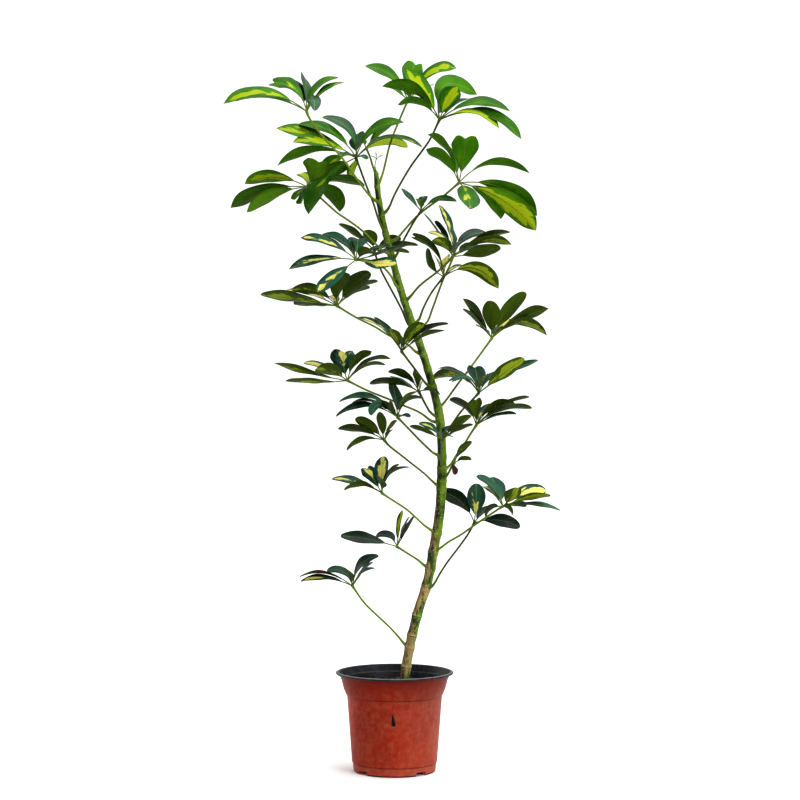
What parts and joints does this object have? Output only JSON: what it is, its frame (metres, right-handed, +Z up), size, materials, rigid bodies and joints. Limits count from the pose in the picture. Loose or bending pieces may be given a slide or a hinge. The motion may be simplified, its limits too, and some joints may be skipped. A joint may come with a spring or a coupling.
{
  "type": "potted umbrella plant",
  "caption": "Variegated dwarf umbrella plant: one leaning trunk with arching compound leaves, standing in a round red-brown nursery pot with dark soil.",
  "frame": {"origin": "centre of the pot's base, on the surface it stands on", "axes": "+Z up along the pot's axis, -Y towards the viewer of the picture, +X to the viewer's right"},
  "size_m": [0.4224, 0.2609, 0.9235],
  "materials": {
    "pot_plastic": "red-brown moulded plastic, satin, with a black inner face",
    "soil": "dark crumbly potting soil",
    "bark": "green to beige young bark with leaf scars",
    "upper_leaf": "bright green leaf with lime patches, glossy",
    "lower_leaf": "dark blue-green leaf with cream-yellow patches, glossy"
  },
  "bodies": {
    "root": {"pot": "pot_plastic", "soil": "soil", "trunk": "bark", "tip_tuft": "upper_leaf", "leaf_01_top_back": "upper_leaf", "leaf_02_top_right": "upper_leaf", "leaf_03_top_left": "upper_leaf", "leaf_04_top_right": "upper_leaf", "leaf_05_upper_left": "upper_leaf", "leaf_06_upper_right": "upper_leaf", "leaf_07_mid_left": "upper_leaf", "leaf_08_mid_right": "upper_leaf", "leaf_09_mid_left": "lower_leaf", "leaf_10_mid_right": "lower_leaf", "leaf_11_mid_back_right": "lower_leaf", "leaf_12_mid_right": "lower_leaf", "leaf_13_mid_back": "lower_leaf", "leaf_14_mid_left": "lower_leaf", "leaf_15_front": "lower_leaf", "leaf_16_mid_right": "lower_leaf", "leaf_17_lower_left": "lower_leaf", "leaf_18_lower_left": "lower_leaf", "leaf_19_lower_right": "lower_leaf", "leaf_20_lower_front": "lower_leaf", "leaf_21_lower_front": "lower_leaf", "leaf_22_lower_right": "lower_leaf", "leaf_23_lower_right": "lower_leaf", "leaf_24_lower_left": "lower_leaf", "leaf_25_low_left": "lower_leaf", "leaf_26_low_right": "lower_leaf", "leaf_27_low_left": "lower_leaf", "leaf_28_low_right": "lower_leaf", "leaf_29_low_left": "lower_leaf"}
  },
  "joints": []
}
